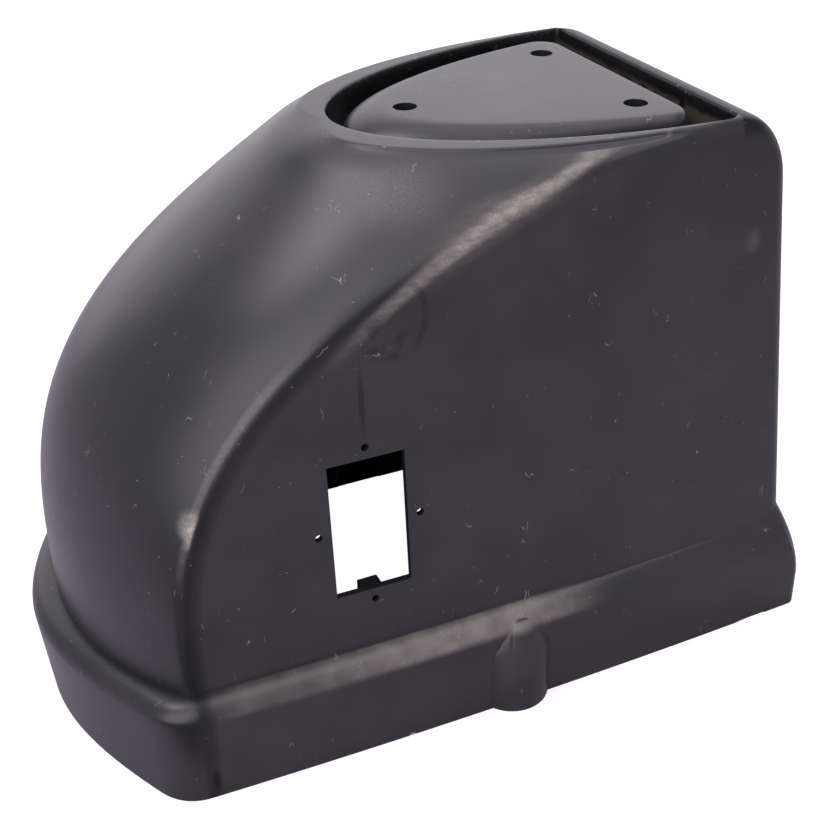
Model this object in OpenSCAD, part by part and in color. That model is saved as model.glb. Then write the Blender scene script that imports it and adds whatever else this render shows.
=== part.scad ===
// Engine cover, moulded in one piece: a stepped skirt, a wedge nose that meets the sides in a
// soft ridge, and a flat top where a moat runs round a raised platform.
// The window side faces +X, the nose points to -Y, and the foot of the skirt stands on z = 0.

/* [Skirt] */
// Length over the skirt, from nose to rear
skirt_len = 474.5; // [464:0.5:484]
// Width over the skirt, halfway along
skirt_w = 272; // [266:0.2:280]
// How far each side curves in, 200 mm from halfway
side_bow = 4; // [1:0.5:6]
// Height of the upright face of the skirt
skirt_h = 56; // [50:1:60]
// Height of the rounded shoulder above that face
shoulder_h = 11; // [8:1:14]
// How far the shoulder steps in to the body
shoulder_w = 10.5; // [8:0.5:13]
// How much lower the shoulder starts towards the rear of the sides
side_drop = 12; // [0:1:16]
// How much lower still it starts round the rear corners
rear_drop = 20; // [0:1:24]
// How much higher it ends round the rear corners
rear_lift = 8; // [0:1:12]
// How far the skirt reaches back from its nose tip to its front corners
skirt_nose = 49.6; // [44:0.2:56]
// How far the foot of the nose tip stands back from its upper edge
skirt_toe = 4; // [0:0.5:6]
// Rounding length of the front corners of the skirt
skirt_corner = 17; // [12:1:24]
// Radius of the rear corners of the skirt
skirt_rear_r = 7; // [5:1:12]

/* [Body] */
// Height from the foot of the skirt to the rim
cover_h = 338; // [330:1:346]
// Thickness of the moulding
wall = 4; // [3:0.5:5]
// Draft of the side walls, in degrees
side_draft = 3.2; // [2:0.1:4]
// Draft of the rear wall, in degrees
rear_draft = 4.3; // [2:0.1:5]
// How far the rear wall steps in from the skirt
rear_step = 12; // [10:0.5:14]
// Radius of the rear corners of the body
body_rear_r = 10; // [6:1:14]
// Distance from the nose tip of the skirt to the foot of the nose
nose_foot = 16.4; // [14:0.2:20]
// Distance from the nose tip of the skirt to the top of the nose, at the rim
nose_top = 184.8; // [180.8:0.5:186.8]
// Distance from the nose tip of the skirt to the foot of the two ridges
ridge_foot = 63.8; // [57.8:1:69.8]
// Distance from the nose tip of the skirt to where the ridges end in the rim
ridge_end = 367.8; // [350.8:1:376.8]
// Rounding length of the ridges
ridge_round = 6; // [4:0.5:9]

/* [Rim and moat] */
// Distance from the rear face of the skirt to the rear of the rim opening
rim_rear = 64.4; // [62:0.2:67]
// Length of the rim opening
rim_len = 201; // [195:1:203]
// Width of the rim opening
rim_w = 204; // [198:1:205]
// Depth of the moat
moat_depth = 25; // [18:1:30]
// Width of the flat rim behind the opening
rim_flat = 0.5; // [0.5:0.5:3]
// Height of the rounding over the rear edge
rear_round_h = 38; // [30:1:46]
// Width of the rounding where the nose tip rolls into the rim
nose_round_w = 22; // [10:1:24]
// Width of that rounding from the nose tip to the ridges
rim_round_w = 8; // [5:0.5:12]
// Height of that rounding
nose_round_h = 11; // [6:1:14]
// Width of the rounding along the sides of the rim, behind the ridges
side_round_w = 4; // [2:0.5:5]
// Height of that rounding
side_round_h = 14; // [6:1:20]
// Radius of the crisp edge on top of the rounding
rim_edge = 1.5; // [1:0.1:3]
// Radius of the inner edge of the rim
rim_lip_r = 1.5; // [1:0.5:2]

/* [Platform] */
// Distance from the rear of the rim opening to the rear of the platform
platform_gap = 17.5; // [15:0.5:20]
// Width of the platform
platform_w = 168; // [160:1:174]
// Length of the flat top of the platform
platform_flat = 151; // [145:1:156]
// Length of the platform at its foot
platform_foot = 172.5; // [168:0.5:175]
// Radius of the rear corners of the platform
platform_r = 14; // [8:1:18]
// Diameter of the three fixing holes in the platform
fixing_d = 14; // [10:0.5:16]
// Distance between the two rear fixing holes
fixing_span = 111; // [100:1:120]
// Distance from the rear of the platform to the two rear fixing holes
fixing_rear = 20.5; // [18:0.5:26]
// Distance from the two rear fixing holes to the front one
fixing_reach = 118; // [110:1:122]

/* [Window] */
// Width of the window
window_w = 45; // [38:1:50]
// Height of the window
window_h = 84; // [76:1:90]
// Height of the middle of the window
window_z = 148.5; // [144:0.5:152]
// Distance from the nose tip of the skirt to the middle of the window
window_y = 175.4; // [170:0.2:182]
// Diameter of the four screw holes round the window
screw_d = 4.5; // [3:0.1:6]
// Distance between the screw holes beside the window
screw_span_y = 60; // [58:1:66]
// Distance between the screw holes above and below the window
screw_span_z = 98; // [97:1:104]
// Width and height of the two screw bosses behind the wall
boss_w = 12; // [9:0.5:14]
// How far the screw bosses reach in from the wall
boss_reach = 9; // [6:0.5:12]

/* [Bumps on the skirt] */
// Radius of the two bumps
bump_r = 23; // [20:0.5:26]
// How far each bump stands out from the skirt
bump_out = 9.8; // [8:0.2:12]
// Height of the upright part of a bump
bump_h = 40; // [34:1:44]
// Height where its cone runs out into the skirt
bump_top = 60; // [56:1:62]
// Distance from the nose tip of the skirt to the middle of the bumps
bump_y = 262.8; // [252:1:274]

/* [Hidden] */
small = 0.01;

// Places along the length, worked out from the sizes above
tip_y = -skirt_len / 2;
back_y = skirt_len / 2;
foot_z = skirt_h + shoulder_h;
rise = cover_h - foot_z;
body_half = skirt_w / 2 - shoulder_w;
rim_back_y = back_y - rim_rear;
platform_back_y = rim_back_y - platform_gap;
moat_z = cover_h - moat_depth;
under_z = moat_z - wall;
bow_reach = 200;

// Form of the nose and the ridge, as fractions and exponents
nose_power = 3.48;
nose_fade = 0.69;
ridge_power = 2.85;
ridge_root = 1.571;
ridge_run = 345;
// Half angle of the nose arc at the foot, and what it gains up to the rim
arc_foot = 39;
arc_gain = 49;
// Flare of the skirt's nose, a conic that is flatter than a parabola
skirt_conic = -1.42;
rim_power = 1.8;
platform_flat_power = 1.3;
platform_foot_power = 1.5;

// Steps along half an outline: nose, ridge, side, rear corner, rear
nose_n = 12;
ridge_n = 3;
side_n = 8;
corner_n = 3;
rear_n = 3;
side_end = nose_n + ridge_n + side_n;
half_n = side_end + corner_n + rear_n;

function mix(a, b, t) = a + (b - a) * t;
function clamp(t) = min(1, max(0, t));
function ease(t) = clamp(t) * clamp(t) * (3 - 2 * clamp(t));

// A conic through 0 and 1: an ellipse for q above 0, a hyperbola below it
function conic(x, q) = (1 - sqrt(1 - q * x * x)) / (1 - sqrt(1 - q));
// A point of a rounded corner, from a by way of b to c
function bend(a, b, c, t) = mix(mix(a, b, t), mix(b, c, t), t);

// One point of half an outline, from the middle of the nose to the middle of the rear.
// d = [nose y, corner y, rear y, half width, corner rounding, rear radius, conic, arc angle]
function bowed(half, y) = half - side_bow * pow(y / bow_reach, 2);
function nose_at(d, u) =
    let (x = d[7] > 1 ? sin(u * d[7]) / sin(d[7]) : u)
    [x * bowed(d[3], d[1]), mix(d[0], d[1], conic(x, d[6]))];
function corner_start(d) = 1 - d[4] / norm([d[3], d[1] - d[0]]);
function outline(d, j) =
    let (
        turn_y = d[1] + d[4],
        last_y = d[2] - d[5],
        last_x = bowed(d[3], last_y)
    )
    j <= nose_n ? nose_at(d, corner_start(d) * j / nose_n)
    : j <= nose_n + ridge_n ?
        bend(nose_at(d, corner_start(d)), [bowed(d[3], d[1]), d[1]], [bowed(d[3], turn_y), turn_y],
            (j - nose_n) / ridge_n)
    : j <= side_end ?
        let (y = mix(turn_y, last_y, (j - nose_n - ridge_n) / side_n)) [bowed(d[3], y), y]
    : j <= side_end + corner_n ?
        let (a = 90 * (j - side_end) / corner_n)
        [last_x - d[5] * (1 - cos(a)), d[2] - d[5] * (1 - sin(a))]
    : [(last_x - d[5]) * (half_n - j) / rear_n, d[2]];

// Sizes of the skirt's outline at height z, set in by g
function skirt_d(z, g) = [
    tip_y + skirt_toe * (1 - z / skirt_h) + g, tip_y + skirt_nose + g / 2, back_y - g, skirt_w / 2 - g,
    skirt_corner, max(1, skirt_rear_r - g), skirt_conic, 0
];

// Places of the nose, the ridge and the rear wall at height z
function part_way(z) = clamp((z - foot_z) / rise);
function nose_y(z) =
    let (left = pow(1 - nose_fade, 2), now = pow(1 - nose_fade * pow(part_way(z), nose_power), 2))
    tip_y + mix(nose_top, nose_foot, (now - left) / (1 - left));
function ridge_y(z) =
    tip_y + min(ridge_end,
        ridge_foot + ridge_run * (1 - pow(1 - pow(part_way(z), ridge_power), 1 / ridge_root)));
function rear_y(z) =
    let (
        lean_y = back_y - rear_step - (z - skirt_h) * tan(rear_draft),
        over = clamp((z - cover_h + rear_round_h) / rear_round_h),
        top_y = rim_back_y + rim_lip_r + rim_flat
    )
    mix(top_y, lean_y, sqrt(1 - over * over));
function arc_angle(z) = arc_foot + arc_gain * pow(part_way(z), 2);

// Sizes of the body's outline at height z, set in by g
function body_d(z, g) = [
    nose_y(z) + g, ridge_y(z) + g / 2, rear_y(z) - g,
    body_half - (z - skirt_h) * tan(side_draft) - g,
    ridge_round, max(1, body_rear_r - g), pow(sin(arc_angle(z)), 2), arc_angle(z)
];

// How far the rounded outer edge of the rim draws the outline in at height z: a broad rounding,
// cut short by a crisp edge between the nose tip and the ridges
tip_to = 4;
tall_from = 11;
tall_to = 17;
function quarter(w, h, z) = let (over = clamp((z - cover_h + h) / h)) w * (1 - sqrt(1 - over * over));
function edge_in(z, j) =
    let (
        tall = ease((j - tall_from) / (tall_to - tall_from)),
        w = mix(mix(nose_round_w, rim_round_w, ease(j / tip_to)), side_round_w, tall),
        h = mix(nose_round_h, side_round_h, tall),
        crisp = ease(j / tip_to) * (1 - tall),
        level = mix(z, min(z, cover_h - rim_edge), crisp)
    )
    quarter(w, h, level) + quarter(rim_edge * crisp, rim_edge, z);
function body_at(z, j) =
    let (d = body_d(z, 0), e = edge_in(z, j), p = outline(d, j))
    j >= side_end ? [p[0] * (1 - e / d[3]), p[1]]
    : let (q = outline(body_d(z, e), j)) [q[0], min(q[1], rear_y(z))];

// An outline of the top, with the same spacing as the body's own top edge.
// t = [half width, nose y, rear y, rear radius, exponent]
top_d = body_d(cover_h, 0);
top_end = outline(top_d, side_end)[1];
function top_at(t, j) =
    let (
        length = t[2] - t[1],
        last_x = t[0] * sqrt(1 - pow(t[3] / length, t[4]))
    )
    j <= side_end ?
        let (y = mix(t[1], t[2] - t[3], (outline(top_d, j)[1] - top_d[0]) / (top_end - top_d[0])))
        [t[0] * sqrt(max(0, 1 - pow((t[2] - y) / length, t[4]))), y]
    : j <= side_end + corner_n ?
        let (a = 90 * (j - side_end) / corner_n)
        [last_x - t[3] * (1 - cos(a)), t[2] - t[3] * (1 - sin(a))]
    : [(last_x - t[3]) * (half_n - j) / rear_n, t[2]];

rim_corner = 3;
function rim_t(g) = [
    rim_w / 2 - g, rim_back_y - rim_len + g, rim_back_y - g, rim_corner + max(0, -g), rim_power
];
function flat_t(g) = [
    platform_w / 2 - g, platform_back_y - platform_flat + g, platform_back_y - g,
    platform_r - g, platform_flat_power
];
function foot_t(g) = [
    platform_w / 2 + small - g, platform_back_y - platform_foot + g, platform_back_y + small - g,
    platform_r - g, platform_foot_power
];

// The broad shoulder between the platform's side and its flat top, at s from 0 to 1
platform_edge = 6;
edge_share = 0.3;
function platform_at(s, j) =
    let (
        top = top_at(flat_t(platform_edge / 2), j),
        foot = top_at(foot_t(-platform_edge / 2), j),
        h = platform_edge + edge_share * norm(foot - top),
        p = mix(top, foot, sin(90 * s))
    )
    [p[0], p[1], cover_h - h * (1 - cos(90 * s))];

// Inner skin: the outline spacing changes slowly from the skirt's to the rim's, so that the
// skin meets the back of the moat squarely
function lengths(p, i = 1, sum = 0, out = [0]) =
    i == len(p) ? out
    : let (next = sum + norm(p[i] - p[i - 1])) lengths(p, i + 1, next, concat(out, [next]));
function shares(p) = let (l = lengths(p)) [for (v = l) v / l[len(l) - 1]];
function walk(p, l, at, i = 1) =
    i == len(p) - 1 || l[i] >= at ? mix(p[i - 1], p[i], (at - l[i - 1]) / (l[i] - l[i - 1]))
    : walk(p, l, at, i + 1);
rim_shares = shares([for (j = [0:side_end]) top_at(rim_t(0), j)]);
skin_lift = 3;
function skin_ring(z) =
    let (
        d = body_d(z + skin_lift, wall),
        p = [for (j = [0:half_n]) outline(d, j)],
        front = [for (j = [0:side_end]) p[j]],
        l = shares(front),
        w = ease((z - foot_z) / (under_z - foot_z))
    )
    [for (j = [0:half_n]) j >= side_end || j == 0 ? p[j] : walk(front, l, mix(l[j], rim_shares[j], w))];

// The hollow between the moat and the outer wall is as high as its width allows
hollow_min = 1;
hollow_max = moat_depth - wall;
hollow_start = 10;
skin_low = skin_ring(under_z);
function hollow_z(j) =
    let (gap = norm(skin_low[j] - top_at(rim_t(0), j)))
    under_z + mix(hollow_min, hollow_max, clamp((gap - hollow_start) / hollow_start));
hollow_share = 0.75;
function skin_at(z, j) = skin_ring(z)[j];
function moat_back(j) =
    let (rim = top_at(rim_t(0), j), skin = skin_at(hollow_z(j), j), gap = norm(skin - rim))
    mix(rim, skin, min(hollow_share, wall / gap));

// Rings of half outlines, from the middle of the platform's top, down outside and up inside
function lift(p, z) = [p[0], p[1], z];
function ring(p, z) = [for (q = p) lift(q, z)];
function top_ring(t, z) = [for (j = [0:half_n]) lift(top_at(t, j), z)];
function body_ring(z) = [for (j = [0:half_n]) lift(body_at(z, j), z)];
function skirt_ring(g, z) = [for (j = [0:half_n]) lift(outline(skirt_d(z, g), j), z)];

// The shoulder at s from 0 to 1, set in by g: a quarter round along the front, which starts lower
// and grows softer towards the rear corners
soft_power = 1.7;
function to_rear(j) = ease((j - 22) / 2.5);
function shoulder_low(j) = skirt_h - side_drop * ease((j - 18.5) / 3) - rear_drop * to_rear(j);
function shoulder_high(j) = foot_z + rear_lift * to_rear(j);
function shoulder_at(s, j, g = 0) =
    let (
        high = shoulder_high(j),
        inset = mix(1 - sqrt(1 - s * s), pow(s, soft_power), ease((j - 17) / 6))
    )
    lift(mix(outline(skirt_d(skirt_h, g), j), outline(body_d(high, g), j), inset),
        mix(shoulder_low(j), high, s) - g);
function shoulder_ring(s, g = 0) = [for (j = [0:half_n]) shoulder_at(s, j, g)];

body_levels = [
    for (t = [1:7]) foot_z + (moat_z - foot_z) * 0.105 * t,
    for (t = [1:6]) foot_z + (moat_z - foot_z) * (0.735 + 0.044 * t),
    for (t = [1:3]) mix(moat_z, cover_h - 1.5 * nose_round_h, t / 3),
    for (t = [1, 0.68, 0.46, 0.29]) cover_h - nose_round_h * t,
    for (t = [1, 0.62, 0.3, 0.08]) cover_h - rim_edge * t
];
skin_levels = [for (t = [1:12]) foot_z + (under_z - 8 - foot_z) * (1 - pow(1 - t / 12, 1.4))];
moat_draft = 1;
last_skin = skin_levels[11];
rings = [
    for (s = [0, 0.35, 0.7, 1]) [for (j = [0:half_n]) platform_at(s, j)],
    [for (j = [0:half_n]) lift(platform_at(1, j), moat_z)],
    top_ring(rim_t(moat_draft), moat_z),
    top_ring(rim_t(0), cover_h - rim_lip_r),
    top_ring(rim_t(-rim_lip_r), cover_h),
    body_ring(cover_h),
    for (i = [len(body_levels) - 1:-1:0]) body_ring(body_levels[i]),
    for (s = [1, 0.93, 0.75, 0.45, 0]) shoulder_ring(s),
    skirt_ring(0, 0),
    skirt_ring(wall, 0),
    shoulder_ring(0, wall),
    shoulder_ring(0.5, wall),
    for (z = concat([foot_z - wall], skin_levels)) ring(skin_ring(z), z),
    [for (j = [0:half_n]) let (z = (last_skin + hollow_z(j)) / 2) lift(skin_at(z, j), z)],
    [for (j = [0:half_n]) lift(skin_at(hollow_z(j), j), hollow_z(j))],
    [for (j = [0:half_n]) lift(moat_back(j), hollow_z(j))],
    [for (j = [0:half_n]) lift(moat_back(j), under_z)],
    top_ring(foot_t(wall), under_z),
    top_ring(foot_t(wall), moat_z),
    top_ring(flat_t(wall), cover_h - wall)
];

// The other half of each outline is its mirror image
function whole(p) = concat(p, [for (j = [half_n - 1:-1:1]) [-p[j][0], p[j][1], p[j][2]]]);
module shell() {
    n = 2 * half_n;
    last = (len(rings) - 1) * n;
    polyhedron(
        points = [for (r = rings) each whole(r)],
        faces = [
            [for (j = [n - 1:-1:0]) j],
            for (i = [0:len(rings) - 2], j = [0:n - 1])
                let (a = i * n + j, b = i * n + (j + 1) % n)
                each [[a, b, b + n], [a, b + n, a + n]],
            [for (j = [0:n - 1]) last + j]
        ]
    );
}

// Distance from the middle plane to the outside of the wall and of the skirt
function wall_x(y, z) = bowed(body_half - (z - skirt_h) * tan(side_draft), y);
function inside_x(y, z) = wall_x(y, z + skin_lift) - wall;

// The two bumps: half round against the skirt, closed by a cone, and hollow from below
bump_at = tip_y + bump_y;
bump_face = bowed(skirt_w / 2, bump_at);
bump_axis = bump_face - bump_r + bump_out;
bump_neck = bump_r - bump_out;
bump_cap = 3;
module at_bumps() for (side = [0, 1]) mirror([side, 0, 0]) translate([bump_axis, bump_at, 0]) children();
module bumps() at_bumps() intersection() {
    rotate_extrude($fn = 64) polygon([
        [0, 0], [bump_r, 0], [bump_r, bump_h], [bump_neck, bump_top],
        [bump_neck - bump_cap, bump_top + bump_cap], [0, bump_top + bump_cap]
    ]);
    translate([bump_neck - wall / 2, -2 * bump_r, 0]) cube([2 * bump_r, 4 * bump_r, 2 * bump_top]);
}
module bump_hollows() at_bumps() rotate_extrude($fn = 64) polygon([
    [0, -1], [bump_r - wall, -1], [bump_r - wall, bump_h], [bump_neck - wall, bump_top - 1],
    [0, bump_top - 1]
]);

// The window in the +X wall, its screw holes and the bosses behind the upper and lower ones
window_at = tip_y + window_y;
module screw_bosses() for (end = [-1, 1]) {
    z = window_z + end * screw_span_z / 2;
    x = inside_x(window_at, z);
    translate([x - boss_reach, window_at - boss_w / 2, z - boss_w / 2])
        cube([boss_reach + wall / 2, boss_w, boss_w]);
}
module window() {
    x = wall_x(window_at, window_z);
    translate([x - 4 * wall, window_at - window_w / 2, window_z - window_h / 2])
        cube([8 * wall, window_w, window_h]);
}
module screw_hole(y, z) translate([wall_x(y, z) - 2 * wall - boss_reach, y, z])
    rotate([0, 90, 0]) cylinder(h = 4 * wall + boss_reach, d = screw_d, $fn = 32);
module screw_holes() for (end = [-1, 1]) {
    screw_hole(window_at, window_z + end * screw_span_z / 2);
    screw_hole(window_at + end * screw_span_y / 2, window_z);
}

// The three fixing holes in the platform
fixing_y = platform_back_y - fixing_rear;
module fixing_hole(x, y) translate([x, y, cover_h - 2 * wall]) cylinder(h = 3 * wall, d = fixing_d, $fn = 48);
module fixing_holes() {
    fixing_hole(0, fixing_y - fixing_reach);
    for (end = [-1, 1]) fixing_hole(end * fixing_span / 2, fixing_y);
}

module engine_cover() color("#3a3a3c") difference() {
    union() {
        shell();
        bumps();
        screw_bosses();
    }
    bump_hollows();
    window();
    screw_holes();
    fixing_holes();
}

engine_cover();
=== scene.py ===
# %% [markdown]
# # Engine cover: a worn black moulding
# The cover is one piece of black plastic. It has a stepped skirt, a wedge nose that meets the flat
# sides in a soft ridge, and a platform on top with a moat round it. Its whole surface can be said
# by one rule: a D-shaped outline that changes with height. So this lesson builds it as one grid
# worked out with numpy, cuts the openings, and puts all the wear into one material.

# %% Load the fixed frame
import math

import bpy
import numpy as np
from mathutils import Matrix, Vector


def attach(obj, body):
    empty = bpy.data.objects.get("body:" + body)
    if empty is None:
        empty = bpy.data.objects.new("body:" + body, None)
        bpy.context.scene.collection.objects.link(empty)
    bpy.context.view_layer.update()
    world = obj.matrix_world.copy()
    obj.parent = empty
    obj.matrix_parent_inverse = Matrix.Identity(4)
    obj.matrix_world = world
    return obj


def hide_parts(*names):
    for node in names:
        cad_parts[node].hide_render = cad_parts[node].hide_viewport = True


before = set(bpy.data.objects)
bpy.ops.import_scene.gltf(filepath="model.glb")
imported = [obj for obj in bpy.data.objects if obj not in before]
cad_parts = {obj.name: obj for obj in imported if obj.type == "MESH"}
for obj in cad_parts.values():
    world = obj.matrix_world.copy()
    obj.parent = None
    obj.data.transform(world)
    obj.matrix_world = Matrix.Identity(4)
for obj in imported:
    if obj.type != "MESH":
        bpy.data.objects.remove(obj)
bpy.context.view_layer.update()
NODE = "engine_cover"
BODY = "root"
MM = 0.001

# %% [markdown]
# ## The camera
# A product photographer stands close, so the near corner looks big and the far side small. The
# place and the lens were solved from the window, the holes and the straight edges, so the camera
# is written as a place, three angles and a lens. The roll is the small tilt of the camera in hand.

# %% The camera
CAMERA_MM = (693.86, -279.13, 585.85)
CAMERA_AZIMUTH = 66.87
CAMERA_ELEVATION = 30.89
CAMERA_ROLL = 1.58
LENS_MM = 59.34
SENSOR_MM = 36.0


def make_camera():
    """Back points from the object to the camera; right and up are turned by the roll about it."""
    a, e, roll = map(math.radians, (CAMERA_AZIMUTH, CAMERA_ELEVATION, CAMERA_ROLL))
    back = Vector((math.sin(a) * math.cos(e), -math.cos(a) * math.cos(e), math.sin(e)))
    right = Vector((math.cos(a), math.sin(a), 0))
    up = back.cross(right)
    rolled_right = right * math.cos(roll) - up * math.sin(roll)
    rolled_up = right * math.sin(roll) + up * math.cos(roll)
    data = bpy.data.cameras.new("camera")
    data.lens = LENS_MM
    data.sensor_width = SENSOR_MM
    camera = bpy.data.objects.new("camera", data)
    bpy.context.scene.collection.objects.link(camera)
    turn = Matrix((rolled_right, rolled_up, back)).transposed().to_4x4()
    camera.matrix_world = Matrix.Translation(Vector(CAMERA_MM) * MM) @ turn
    bpy.context.scene.camera = camera
    return camera


camera = make_camera()
print("camera", [round(v, 3) for v in camera.location], "lens", LENS_MM)

# %% [markdown]
# ## The outline
# Seen from above, every level of the cover is a D: the nose is a conic arc, the ridge is a rounded
# corner, then comes a slightly bowed side, a rear corner and a straight rear. One function gives
# any point of half a D from a parameter j, so levels can be joined point to point. The step
# numbers are the same as in the solid, and here j takes many values between them.

# %% Driving sizes, in millimetres
SKIRT_LEN = 474.5
SKIRT_W = 272.0
SIDE_BOW = 4.0
BOW_REACH = 200.0
SKIRT_H = 56.0
SHOULDER_H = 11.0
SHOULDER_W = 10.5
SIDE_DROP, REAR_DROP, REAR_LIFT = 12.0, 20.0, 8.0
SKIRT_NOSE = 49.6
SKIRT_TOE = 4.0
SKIRT_CORNER = 17.0
SKIRT_REAR_R = 7.0
COVER_H = 338.0
WALL = 4.0
SIDE_DRAFT = 3.2
REAR_DRAFT = 4.3
REAR_STEP = 12.0
BODY_REAR_R = 10.0
NOSE_FOOT = 16.4
NOSE_TOP = 184.8
RIDGE_FOOT = 63.8
RIDGE_END = 367.8
RIDGE_ROUND = 6.0
RIM_REAR = 64.4
RIM_LEN = 201.0
RIM_W = 204.0
MOAT_DEPTH = 25.0
RIM_FLAT = 0.5
REAR_ROUND_H = 38.0
NOSE_ROUND_W, RIM_ROUND_W, NOSE_ROUND_H = 22.0, 8.0, 11.0
SIDE_ROUND_W, SIDE_ROUND_H = 4.0, 14.0
RIM_EDGE = 1.5
RIM_LIP_R = 1.5
PLATFORM_GAP = 17.5
PLATFORM_W = 168.0
PLATFORM_FLAT = 151.0
PLATFORM_FOOT = 172.5
PLATFORM_R = 14.0

TIP_Y = -SKIRT_LEN / 2
BACK_Y = SKIRT_LEN / 2
FOOT_Z = SKIRT_H + SHOULDER_H
RISE = COVER_H - FOOT_Z
BODY_HALF = SKIRT_W / 2 - SHOULDER_W
RIM_BACK_Y = BACK_Y - RIM_REAR
PLATFORM_BACK_Y = RIM_BACK_Y - PLATFORM_GAP
MOAT_Z = COVER_H - MOAT_DEPTH
UNDER_Z = MOAT_Z - WALL

# Forms of the curves: exponents and fractions without a unit
NOSE_POWER, NOSE_FADE = 3.48, 0.69
RIDGE_POWER, RIDGE_ROOT, RIDGE_RUN = 2.85, 1.571, 345.0
ARC_FOOT, ARC_GAIN = 39.0, 49.0
SKIRT_CONIC = -1.42
RIM_POWER, FLAT_POWER, FOOT_POWER = 1.8, 1.3, 1.5
RIM_CORNER = 3.0

# Where j changes from nose to ridge, side, rear corner and rear
NOSE_J, RIDGE_J, SIDE_J, CORNER_J, REAR_J = 12.0, 15.0, 23.0, 26.0, 29.0

# The smallest angle of an arc, in degrees, and the smallest radius of a corner
ARC_LEAST, RADIUS_LEAST = 1.0, 1.0
print("body", RISE, "mm high above the shoulder; moat floor at", MOAT_Z)


# %% A point of half a D
def clamp(t):
    """t held between 0 and 1."""
    return np.clip(t, 0.0, 1.0)


def mix(a, b, t):
    """The way from a to b: a plus t times their difference."""
    return a + (b - a) * t


def ease(t):
    """A smooth step: t squared times 3 minus 2t."""
    return clamp(t) ** 2 * (3 - 2 * clamp(t))


def conic(x, q):
    """An arc from 0 to 1: one minus the root of one minus q x squared, scaled. q over 0 is an ellipse."""
    return (1 - np.sqrt(1 - q * x * x)) / (1 - np.sqrt(1 - q))


def bowed(half, y):
    """The half width, less the bow, which grows with the square of the distance from halfway."""
    return half - SIDE_BOW * (y / BOW_REACH) ** 2


def nose_at(d, u):
    """Across: sine of u times the arc's angle. Along: the conic of that, from nose to corner."""
    angle = np.radians(np.maximum(d["arc"], ARC_LEAST))
    x = np.where(d["arc"] > ARC_LEAST, np.sin(u * angle) / np.sin(angle), u)
    return x * bowed(d["half"], d["corner"]), mix(d["nose"], d["corner"], conic(x, d["conic"]))


def outline(d, j):
    """Half a D: conic nose, a rounded corner from two straight tangents, bowed side, quarter round, rear."""
    start = 1 - d["round"] / np.hypot(d["half"], d["corner"] - d["nose"])
    turn_y = d["corner"] + d["round"]
    last_y = d["rear"] - d["radius"]
    last_x = bowed(d["half"], last_y)
    nose_x, nose_y = nose_at(d, start * clamp(j / NOSE_J))
    t = clamp((j - NOSE_J) / (RIDGE_J - NOSE_J))
    end_x, end_y = nose_at(d, start)
    peak_x, peak_y = bowed(d["half"], d["corner"]), d["corner"]
    bend_x = mix(mix(end_x, peak_x, t), mix(peak_x, bowed(d["half"], turn_y), t), t)
    bend_y = mix(mix(end_y, peak_y, t), mix(peak_y, turn_y, t), t)
    side_y = mix(turn_y, last_y, clamp((j - RIDGE_J) / (SIDE_J - RIDGE_J)))
    angle = np.pi / 2 * clamp((j - SIDE_J) / (CORNER_J - SIDE_J))
    corner_x = last_x - d["radius"] * (1 - np.cos(angle))
    corner_y = d["rear"] - d["radius"] * (1 - np.sin(angle))
    rear_x = (last_x - d["radius"]) * clamp((REAR_J - j) / (REAR_J - CORNER_J))
    where = [j <= NOSE_J, j <= RIDGE_J, j <= SIDE_J, j <= CORNER_J]
    x = np.select(where, [nose_x, bend_x, bowed(d["half"], side_y), corner_x], rear_x)
    y = np.select(where, [nose_y, bend_y, side_y, corner_y], d["rear"] + 0 * j)
    return x, y


print("half a D has", int(REAR_J), "steps of j")

# %% [markdown]
# ## How the D changes with height
# The nose leans back more and more steeply towards the rim, and the ridge sweeps from the front
# corner back to the rim, so the flat side becomes a quarter disc. The rear wall leans in a little
# and rolls over the top edge in a large quarter ellipse.

# %% Sizes of the D at a height
def part_way(z):
    """How far up the body a height is, from 0 at its foot to 1 at the rim."""
    return clamp((z - FOOT_Z) / RISE)


def nose_y(z):
    """The square of one minus a power of the height, scaled to run from foot to top."""
    left = (1 - NOSE_FADE) ** 2
    now = (1 - NOSE_FADE * part_way(z) ** NOSE_POWER) ** 2
    return TIP_Y + mix(NOSE_TOP, NOSE_FOOT, (now - left) / (1 - left))


def ridge_y(z):
    """A superellipse quadrant: upright at the foot, level where it ends in the rim."""
    drop = (1 - part_way(z) ** RIDGE_POWER) ** (1 / RIDGE_ROOT)
    return TIP_Y + np.minimum(RIDGE_END, RIDGE_FOOT + RIDGE_RUN * (1 - drop))


def rear_y(z):
    """A leaning line, then a quarter ellipse over the top edge."""
    lean_y = BACK_Y - REAR_STEP - (z - SKIRT_H) * math.tan(math.radians(REAR_DRAFT))
    over = clamp((z - COVER_H + REAR_ROUND_H) / REAR_ROUND_H)
    top_y = RIM_BACK_Y + RIM_LIP_R + RIM_FLAT
    return mix(top_y, lean_y, np.sqrt(1 - over**2))


def body_half(z):
    """Half the body's width: that at its foot, less the rise times the tangent of the draft."""
    return BODY_HALF - (z - SKIRT_H) * math.tan(math.radians(SIDE_DRAFT))


def arc_angle(z):
    """The angle of the nose's arc, in degrees: that at the foot plus a gain with the square of the way up."""
    return ARC_FOOT + ARC_GAIN * part_way(z) ** 2


def skirt_d(z, g):
    """The skirt's D at height z, set in by g. Its nose tip leans out a little as it rises."""
    return {
        "nose": TIP_Y + SKIRT_TOE * (1 - z / SKIRT_H) + g,
        "corner": TIP_Y + SKIRT_NOSE + g / 2,
        "rear": BACK_Y - g,
        "half": SKIRT_W / 2 - g,
        "round": SKIRT_CORNER,
        "radius": max(RADIUS_LEAST, SKIRT_REAR_R - g),
        "conic": SKIRT_CONIC,
        "arc": 0.0,
    }


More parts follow.
